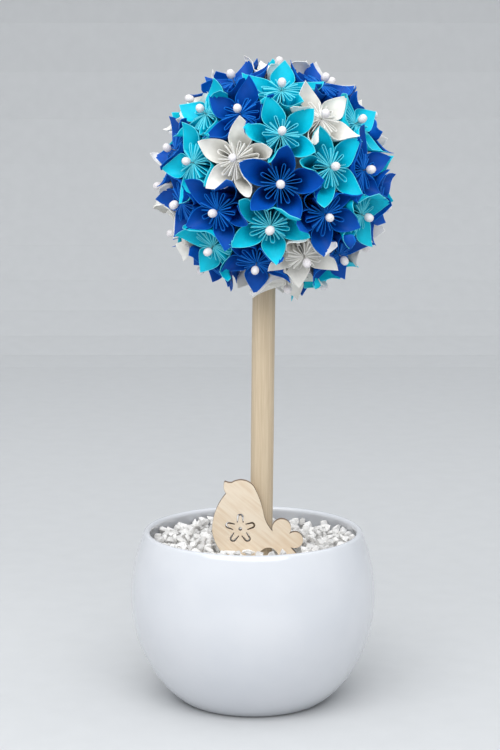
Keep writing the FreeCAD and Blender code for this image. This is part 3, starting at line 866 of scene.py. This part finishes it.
@dataclass
class Stem:
    """The wooden stem, round with a faintly uneven hand-cut surface."""

    radius: float = STEM_RADIUS
    lean: float = 0.6
    wobble: float = 0.12 * MILLIMETRE

    def build(self, shader: Shader) -> None:
        """Carry a circle along the leaning axis.

        The radius is even but for a slow wave of a few hundredths that turns as it rises.
        """
        low, high = (np.array(corner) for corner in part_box("stem"))
        lean = math.radians(self.lean)
        rise = np.linspace(low[2], high[2], 60)
        start = low[0] + self.radius * math.cos(lean)
        turn = np.linspace(0, 2 * math.pi, 40, endpoint=False)
        height, angle = np.meshgrid(rise, turn, indexing="ij")
        wave = np.sin(height * 61 + 3 * angle) + np.sin(height * 143 - 2 * angle) * 0.5
        radius = self.radius - self.wobble + self.wobble * wave / 2
        centre = start + (height - low[2]) * math.tan(lean)
        grid = np.stack([centre + radius * np.cos(angle), radius * np.sin(angle), height], axis=-1)
        parts = MeshParts()
        parts.add(grid.reshape(-1, 3), grid_faces(len(rise), len(turn), closed=True))
        for row, order in ((0, -1), (len(rise) - 1, 1)):
            ring = grid[row]
            centre_point = ring.mean(axis=0, keepdims=True)
            number = np.arange(len(turn))
            cap = np.stack([number, np.roll(number, -1), np.full_like(number, len(turn)),
                            np.full_like(number, len(turn))], axis=-1)
            if order < 0:
                cap[:, :2] = cap[:, 1::-1]
            parts.add(np.concatenate([ring, centre_point]), cap)
        piece = parts.build("wooden_stem", shader, "stem_wood")
        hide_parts("stem")
        LOG.info("stem")


@dataclass
class Pot:
    """The round glazed pot: its profile as arcs, and an even wall down to its floor."""

    rim_radius: float = 56.5 * MILLIMETRE
    belly_height: float = 53.6 * MILLIMETRE
    heel_radius: float = 53.8 * MILLIMETRE
    heel_height: float = 17.0 * MILLIMETRE
    foot_radius: float = 38.5 * MILLIMETRE
    heel_curve: float = 52.0 * MILLIMETRE
    wall: float = 3.5 * MILLIMETRE
    foot_round: float = 0.8 * MILLIMETRE
    belly: float = 63.8 * MILLIMETRE
    axis_gap: float = 0.5 * MILLIMETRE

    def curve(self, radius: float, rise: float) -> float:
        """Return the radius of the arc that leaves the belly upright and passes a point."""
        inward = self.belly - radius
        return (inward ** 2 + rise ** 2) / (2 * inward)

    def swept(self, radius: float, start: float, end: float, inset: float = 0.0) -> np.ndarray:
        """Return points of an arc through the belly, from one angle to another, moved in by an inset."""
        centre = (self.belly - radius, self.belly_height)
        return centre + (radius - inset) * circle(np.linspace(start, end, 20))

    def build(self, shader: Shader) -> None:
        """Turn the profile: foot, heel, belly, shoulder, rounded lip and the inside down to the floor.

        The lip is half a circle across the wall, tangent to the shoulder outside and in.
        """
        low, high = (np.array(corner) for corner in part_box("pot"))
        self.belly = float(high[0] - low[0]) / 2
        shoulder = self.curve(self.rim_radius, float(high[2]) - self.belly_height)
        flank = self.curve(self.heel_radius, self.belly_height - self.heel_height)
        half = self.wall / 2
        rim_turn = math.asin((float(high[2]) - half - self.belly_height) / (shoulder - half))
        heel_turn = math.asin((self.heel_height - self.belly_height) / flank)
        foot = np.array([[self.axis_gap, 0.0], [self.foot_radius * 0.5, 0.0],
                         [self.foot_radius - self.foot_round, 0.0]])
        heel = arc_points((self.foot_radius, 0.15 * MILLIMETRE), (self.heel_radius, self.heel_height),
                          self.heel_curve, 14)
        outside = [self.swept(flank, heel_turn, 0.0)[1:], self.swept(shoulder, 0.0, rim_turn)[1:]]
        middle = self.swept(shoulder, 0.0, rim_turn, half)[-1]
        lip = middle + half * circle(rim_turn + np.linspace(0, math.pi, 13)[1:-1])
        inside = [self.swept(shoulder, rim_turn, 0.0, self.wall),
                  self.swept(flank, 0.0, heel_turn, self.wall)[1:]]
        floor = np.array([[self.foot_radius, self.wall], [self.axis_gap, self.wall]])
        points, faces = turned_surface(np.concatenate([foot, heel, *outside, lip, *inside, floor]), 144)
        parts = MeshParts()
        parts.add(points, faces)
        piece = parts.build("glazed_pot", shader, "white_glaze")
        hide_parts("pot")
        LOG.info("pot")


@dataclass
class Gravel:
    """Loose marble chips on the fill, in one full layer with a second scattered over it."""

    stone: float = 6.2 * MILLIMETRE
    pitch: float = 5.8 * MILLIMETRE
    reach: float = 53.2 * MILLIMETRE
    cleared: float = 15.0 * MILLIMETRE
    levels: tuple[float, float] = (2.7 * MILLIMETRE, 6.3 * MILLIMETRE)
    lowered: float = 1.9 * MILLIMETRE
    second_layer: float = 0.78
    at_foot: tuple = ((-12.1, -13.2, 6.8), (-2.4, -13.0, 8.8))
    seed: int = 11

    @staticmethod
    def chip(rng: np.random.Generator) -> tuple[np.ndarray, np.ndarray]:
        """Return one angular chip: the hull of points scattered near a flattened ball."""
        corners, least, most = 15, (0.85, 0.7, 0.55), (1.15, 1.0, 0.8)
        spots = unit(rng.normal(size=(corners, 3))) * rng.uniform(0.86, 1.0, (corners, 1))
        spots = spots * rng.uniform(least, most)
        shape = bmesh.new()
        for spot in spots:
            shape.verts.new(spot)
        hull = bmesh.ops.convex_hull(shape, input=shape.verts)
        inner = [item for item in hull["geom_interior"] if isinstance(item, bmesh.types.BMVert)]
        bmesh.ops.delete(shape, geom=inner, context="VERTS")
        bmesh.ops.recalc_face_normals(shape, faces=shape.faces)
        shape.verts.index_update()
        points = np.array([corner.co for corner in shape.verts])
        faces = np.array([[corner.index for corner in face.verts] for face in shape.faces])
        shape.free()
        return points, faces[:, [0, 1, 2, 2]]

    def spots(self, rng: np.random.Generator, layer: int) -> np.ndarray:
        """Return a layer's places: a hexagonal grid, shifted in the second layer, then jittered."""
        steps = np.arange(-11, 12)
        column, row = np.meshgrid(steps, steps)
        across = (column + (row % 2) / 2 + layer / 2) * self.pitch
        down = (row + layer / 3) * self.pitch * math.sqrt(3) / 2
        jitter = rng.uniform(-0.16, 0.16, (column.size, 2)) * self.pitch
        return np.stack([across, down], axis=-1).reshape(-1, 2) + jitter

    def build(self, shader: Shader, stem: np.ndarray, bird: tuple[np.ndarray, np.ndarray]) -> None:
        """Lay the chips in two layers, clear of the stem and the bird.

        Before the bird they lie low, but for two chips at its foot.
        """
        low, _ = (np.array(corner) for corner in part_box("gravel"))
        rng = np.random.default_rng(self.seed)
        parts = MeshParts()
        for layer, height in enumerate(self.levels):
            edge = self.reach - layer * 0.8 * MILLIMETRE
            for spot in self.spots(rng, layer):
                if np.hypot(*spot) < edge + self.pitch / 2:
                    spot = spot * min(1.0, edge / np.hypot(*spot))
                size = self.stone / 2 * rng.uniform(0.84, 1.06)
                tone = rng.uniform(0, 1) ** 2
                points, faces = self.chip(rng)
                basis, _ = np.linalg.qr(rng.normal(size=(3, 3)) + 1.5 * np.eye(3))
                basis = basis * np.sign(np.linalg.det(basis))
                rise = height + rng.uniform(-0.5, 0.5) * MILLIMETRE
                before_bird = (bird[0][1] - self.cleared < spot[1] < bird[0][1]
                               and bird[0][0] < spot[0] < bird[1][0])
                beside_bird = bird[0][0] - size < spot[0] < bird[1][0] + size
                if layer and (rng.uniform() > self.second_layer or before_bird):
                    continue
                if before_bird:
                    rise -= self.lowered
                if np.hypot(*spot) > edge * 1.001 or np.hypot(*(spot - stem)) < STEM_RADIUS + size:
                    continue
                if beside_bird and bird[0][1] - size < spot[1] < bird[1][1] + size:
                    continue
                points = points @ basis.T * size + (spot[0], spot[1], low[2] + rise)
                points[:, 2] = np.maximum(points[:, 2], low[2])
                parts.add(points, faces, tone)
        for across, down, width in MILLIMETRE * np.array(self.at_foot):
            points, faces = self.chip(rng)
            half = np.array([width / 2, self.stone / 2, self.stone * 0.42])
            parts.add(points * half + (across, down, low[2] + self.levels[0] + half[2] / 2), faces, 0.0)
        piece = parts.build("marble_gravel", shader, "marble_chips", smooth=False)
        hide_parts("gravel")
        LOG.info("gravel")


# Outline of the bird as shares of its length and height: each end, and a point passed on the way
BIRD_START = (0.14, 0.99)
BIRD_OUTLINE = (
    ((0.22, 0.972), (0.182, 0.972)),
    ((0.46, 0.92), (0.37, 0.995)),
    ((0.572, 0.54), (0.528, 0.74)),
    ((0.665, 0.34), (0.614, 0.42)),
    ((0.848, 0.303), (0.778, 0.497)),
    ((0.862, 0.132), (1.0, 0.21)),
    ((0.93, 0.04), None),
    ((0.93, 0.0), None),
    ((0.16, 0.0), None),
    ((0.0, 0.35), (0.045, 0.17)),
    ((0.155, 0.83), (0.045, 0.62)),
    (BIRD_START, (0.128, 0.92)),
)


@dataclass
class PlywoodBird:
    """The laser-cut bird: a flat plate with a blossom of cuts and an arch, scorched at its cuts."""

    length: float = 47.0 * MILLIMETRE
    height: float = 40.4 * MILLIMETRE
    blossom: tuple[float, float] = (0.31, 0.37)
    hole_centre: float = 0.9 * MILLIMETRE
    cut_tip: float = 8.0 * MILLIMETRE
    cut_root: float = 3.4 * MILLIMETRE
    cut_half: float = 1.7 * MILLIMETRE
    cut_width: float = 0.85 * MILLIMETRE
    cut_end: float = 0.4 * MILLIMETRE
    arch: float = 0.62
    arch_radius: float = 5.0 * MILLIMETRE
    middle: float = 2.3 * MILLIMETRE
    scorch: float = 0.35 * MILLIMETRE
    edge_break: float = 0.1 * MILLIMETRE

    def place(self, point: tuple[float, float]) -> np.ndarray:
        """Return a share of the length and height as a point of the plate."""
        return np.array([(point[0] - 0.5) * self.length + self.middle, point[1] * self.height])

    @staticmethod
    def through(start: np.ndarray, passed: np.ndarray, end: np.ndarray, count: int) -> np.ndarray:
        """Return points of the circle arc from start past a point to end, without the end.

        The centre is where the perpendicular bisectors of the two chords meet.
        """
        chords = np.stack([passed - start, end - start])
        centre = start + np.linalg.solve(2 * chords, (chords ** 2).sum(axis=1))
        angles = [math.atan2(*(point - centre)[::-1]) for point in (start, passed, end)]
        turn = (angles[2] - angles[0]) % (2 * math.pi)
        if (angles[1] - angles[0]) % (2 * math.pi) > turn:
            turn -= 2 * math.pi
        sweep = angles[0] + np.linspace(0, turn, count, endpoint=False)
        return centre + np.linalg.norm(start - centre) * circle(sweep)

    def outline(self) -> np.ndarray:
        """Return the plate's outline, clockwise from the beak, with the arch in its foot."""
        start = self.place(BIRD_START)
        runs = []
        for end, passed in BIRD_OUTLINE:
            finish = self.place(end)
            if passed:
                runs.append(self.through(start, self.place(passed), finish, 20))
            else:
                runs.append(start[None])
                if finish[1] == start[1]:
                    ring = circle(np.radians(np.linspace(0, 180, 25)))
                    runs.append(self.place((self.arch, 0)) + self.arch_radius * ring)
            start = finish
        return np.concatenate(runs)

    def petal_cut(self) -> np.ndarray:
        """Return one U-shaped cut as distances out and across, anticlockwise, narrower at its ends."""
        bend, inner = self.cut_tip - self.cut_half, self.cut_half - self.cut_width
        corners = np.array([(self.cut_root, -self.cut_half), (bend, -self.cut_half),
                            (self.cut_root, self.cut_end - self.cut_half), (bend, -inner)])
        share = np.linspace(0, 1, 7)[:, None]
        outer_leg, inner_leg = (corners[row] + (corners[row + 1] - corners[row]) * share
                                for row in (0, 2))
        tip = circle(np.radians(np.linspace(-90, 90, 17))[1:-1])
        mirror = (1, -1)
        return np.concatenate([outer_leg, (bend, 0) + self.cut_half * tip, outer_leg[::-1] * mirror,
                               inner_leg * mirror, (bend, 0) + inner * tip[::-1], inner_leg[::-1]])

    def holes(self) -> list[np.ndarray]:
        """Return the blossom: a round hole and five U-shaped cuts round it, one for each petal."""
        centre = self.place(self.blossom)
        loops = [centre + self.hole_centre * circle(np.linspace(0, 2 * math.pi, 32, endpoint=False))]
        for index in range(PETALS):
            angle = math.radians(90 + index * PETAL_TURN)
            outward = np.array([math.cos(angle), math.sin(angle)])
            loops.append(centre + self.petal_cut() @ np.stack([outward, [-outward[1], outward[0]]]))
        return loops

    @staticmethod
    def inset(loop: np.ndarray, distance: float) -> np.ndarray:
        """Return a loop moved to the right of its way, into the plate, by a distance."""
        along = unit(np.roll(loop, -1, axis=0) - np.roll(loop, 1, axis=0))
        return loop + distance * np.stack([along[:, 1], -along[:, 0]], axis=-1)

    def build(self, shader: Shader) -> None:
        """Carry an edge profile round each loop and close both faces between the loops.

        The profile runs from the front face over a broken edge and the cut to the back face, and its
        tone is the scorch: full on the cut and fading over the face.
        """
        low, high = (np.array(corner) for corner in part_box("plywood_bird"))
        front, back = low[1], high[1]
        steps = ((self.scorch, front, 0.0), (self.edge_break, front, 0.35),
                 (0.0, front + self.edge_break, 1.0), (0.0, back - self.edge_break, 1.0),
                 (self.edge_break, back, 0.35), (self.scorch, back, 0.0))
        parts = MeshParts()
        loops = [self.outline(), *self.holes()]
        for loop in loops:
            rows = [self.inset(loop, distance) for distance, _, _ in steps]
            grid = np.stack([np.stack([row[:, 0], np.full(len(row), depth), row[:, 1] + low[2]], axis=-1)
                             for row, (_, depth, _) in zip(rows, steps)])
            tone = np.repeat([step[2] for step in steps], len(loop))
            parts.add(grid.reshape(-1, 3), grid_faces(len(steps), len(loop), closed=True), tone)
        rings = [self.inset(loop, self.scorch) for loop in loops]
        flat = np.concatenate(rings)
        filled = tessellate_polygon([[(*point, 0.0) for point in ring] for ring in rings])
        corners = np.array(filled)
        first, second, third = (flat[corners[:, index]] for index in range(3))
        across, down = (second - first).T, (third - first).T
        area = across[0] * down[1] - across[1] * down[0]
        corners[area < 0] = corners[area < 0][:, ::-1]
        for depth, faces in ((front, corners), (back, corners[:, ::-1])):
            points = np.stack([flat[:, 0], np.full(len(flat), depth), flat[:, 1] + low[2]], axis=-1)
            parts.add(points, faces[:, [0, 1, 2, 2]], 0.0)
        piece = parts.build("laser_cut_bird", shader, "plywood", smooth=False)
        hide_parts("plywood_bird")
        LOG.info("bird")


@dataclass(frozen=True)
class PlywoodFinish:
    """Birch plywood: a pale face with a faint slanting grain and brown scorch at the cuts."""

    light: Colour = (0.79, 0.68, 0.54)
    dark: Colour = (0.69, 0.545, 0.39)
    burnt: Colour = (0.17, 0.105, 0.06)
    grain_turn: float = 40.0

    def make(self) -> Shader:
        """Return the plywood's material."""
        shader = Shader("birch_plywood")
        tilt = (0.0, math.radians(-self.grain_turn), 0.0)
        turned = shader.node("ShaderNodeMapping", Vector=shader.place, Rotation=tilt)
        grain = shader.node("ShaderNodeMapping", Vector=turned, Scale=(60.0, 300.0, 700.0))
        streaks = shader.noise(1.0, 5.0, grain)
        cloud = shader.noise(55.0, 2.0)
        line = shader.smooth(streaks * 0.55 + cloud * 0.45, 0.36, 0.64)
        tone = attribute(shader, "tone")
        speck = shader.noise(1800.0, 2.0)
        scorch = shader.smooth(tone + (speck - 0.5) * 0.5, 0.25, 0.95)
        shader.set(Base_Color=shader.mix(scorch, shader.mix(line, self.dark, self.light), self.burnt),
                   Roughness=0.62 - line * 0.08)
        shader.bump(streaks, 0.00006, 0.5)
        return shader


# Stage


@dataclass
class Studio:
    """A pale floor that rises behind the object, soft lamps and the photograph's camera."""

    image_height: int = 750
    camera_place: tuple[float, float, float] = (-0.0016, -0.902, 0.3047)
    pitch: float = 8.5
    focal_pixels: float = 1772.0
    sensor_height: float = 24.0
    dome_low: float = 0.60
    dome_high: float = 1.45
    floor_light: Colour = (0.60, 0.61, 0.62)
    floor_dark: Colour = (0.56, 0.57, 0.58)

    def build(self) -> None:
        """Make the floor, the lamps, the world and the camera."""
        self.floor()
        self.lamp("key", (-0.15, -0.90, 1.05), (0.0, 0.0, 0.26), (2.2, 0.8), 14.5)
        self.dome()
        bpy.context.scene.view_settings.view_transform = "Standard"
        self.camera()

    def dome(self) -> None:
        """Light the scene from a dome whose upper part is a bright overhead softbox.

        The strength goes from the low value to the high one over a few degrees round a height of 45
        degrees, so that gloss shows the softbox's edge.
        """
        world = bpy.data.worlds.new("studio")
        world.use_nodes = True
        tree = world.node_tree
        place = tree.nodes.new("ShaderNodeTexCoord")
        split = tree.nodes.new("ShaderNodeSeparateXYZ")
        tree.links.new(place.outputs["Generated"], split.inputs[0])
        step = tree.nodes.new("ShaderNodeMapRange")
        step.interpolation_type = "SMOOTHSTEP"
        limits = {"From Min": 0.66, "From Max": 0.76, "To Min": self.dome_low, "To Max": self.dome_high}
        for name, value in limits.items():
            step.inputs[name].default_value = value
        tree.links.new(split.outputs["Z"], step.inputs["Value"])
        background = tree.nodes["Background"]
        background.inputs["Color"].default_value = (0.95, 0.975, 1.0, 1.0)
        tree.links.new(step.outputs[0], background.inputs["Strength"])
        bpy.context.scene.world = world

    def floor(self) -> None:
        """Sweep a floor line back and up to a wall in one smooth surface."""
        turn = np.linspace(0, math.pi / 2, 12)
        back, rise = 1.2, 0.5
        depth = np.concatenate([[-2.5], back + rise * np.sin(turn), [back + rise]])
        height = np.concatenate([[0.0], rise * (1 - np.cos(turn)), [3.0]])
        across = np.array([-3.0, 3.0])
        grid = np.stack(np.broadcast_arrays(across[None], depth[:, None], height[:, None]), axis=-1)
        mesh = bpy.data.meshes.new("floor")
        mesh.from_pydata(grid.reshape(-1, 3).tolist(), [], grid_faces(len(depth), 2).tolist())
        shader = Shader("floor_paper")
        grain = shader.noise(60.0, 3.0)
        shader.set(Base_Color=shader.mix(grain, self.floor_dark, self.floor_light), Roughness=0.8)
        mesh.materials.append(shader.material)
        floor = bpy.data.objects.new("floor", mesh)
        bpy.context.scene.collection.objects.link(floor)

    def lamp(self, name: str, place: tuple, target: tuple, size: tuple[float, float],
             power: float) -> None:
        """Add a soft oval lamp, with a width and a height, that faces a target."""
        data = bpy.data.lights.new(name, "AREA")
        data.shape = "ELLIPSE"
        data.size, data.size_y = size
        data.energy = power
        lamp = bpy.data.objects.new(name, data)
        lamp.location = place
        lamp.rotation_euler = (Vector(target) - Vector(place)).to_track_quat("-Z", "Y").to_euler()
        bpy.context.scene.collection.objects.link(lamp)

    def camera(self) -> None:
        """Stand the camera in front, looking a little down, with the photograph's field of view."""
        data = bpy.data.cameras.new("camera")
        data.sensor_fit = "VERTICAL"
        data.sensor_height = self.sensor_height
        data.lens = self.focal_pixels / self.image_height * data.sensor_height
        data.clip_start = 0.01
        camera = bpy.data.objects.new("camera", data)
        camera.location = self.camera_place
        camera.rotation_euler = (math.radians(90 - self.pitch), 0.0, 0.0)
        bpy.context.scene.collection.objects.link(camera)
        bpy.context.scene.camera = camera


def dress_fill(shader: Shader) -> None:
    """Give the hidden plaster fill, which keeps its frame shape, its material."""
    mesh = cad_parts["plaster_fill"].data
    mesh.materials.clear()
    mesh.materials.append(shader.material)


def main() -> None:
    """Build every piece in order and report it."""
    logging.basicConfig(level=logging.INFO, format="%(name)s: %(message)s")
    Studio().build()
    ball = FlowerBall()
    ball.build_core(FoamFinish().make())
    ball.build_flowers({tint: PaperFinish(tint).make() for tint in PaperTint})
    ball.build_pins(PearlFinish().make())
    wood = WoodFinish("stem_wood_grain", light=(0.62, 0.505, 0.355), dark=(0.52, 0.41, 0.28),
                      grain=(1100.0, 1100.0, 18.0))
    Stem().build(wood.make())
    Pot().build(GlazeFinish().make())
    PlywoodBird().build(PlywoodFinish().make())
    bird = tuple(np.array(corner)[:2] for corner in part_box("plywood_bird"))
    stem_low, _ = (np.array(corner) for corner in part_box("stem"))
    stem_spot = np.array([stem_low[0] + STEM_AT_GRAVEL, 0.0])
    marble = StoneFinish("marble_chip", (0.88, 0.87, 0.855), (0.46, 0.45, 0.44))
    Gravel().build(marble.make(), stem_spot, bird)
    dress_fill(StoneFinish("set_plaster", (0.70, 0.69, 0.66), (0.58, 0.57, 0.54)).make())


if __name__ == "__main__":
    main()
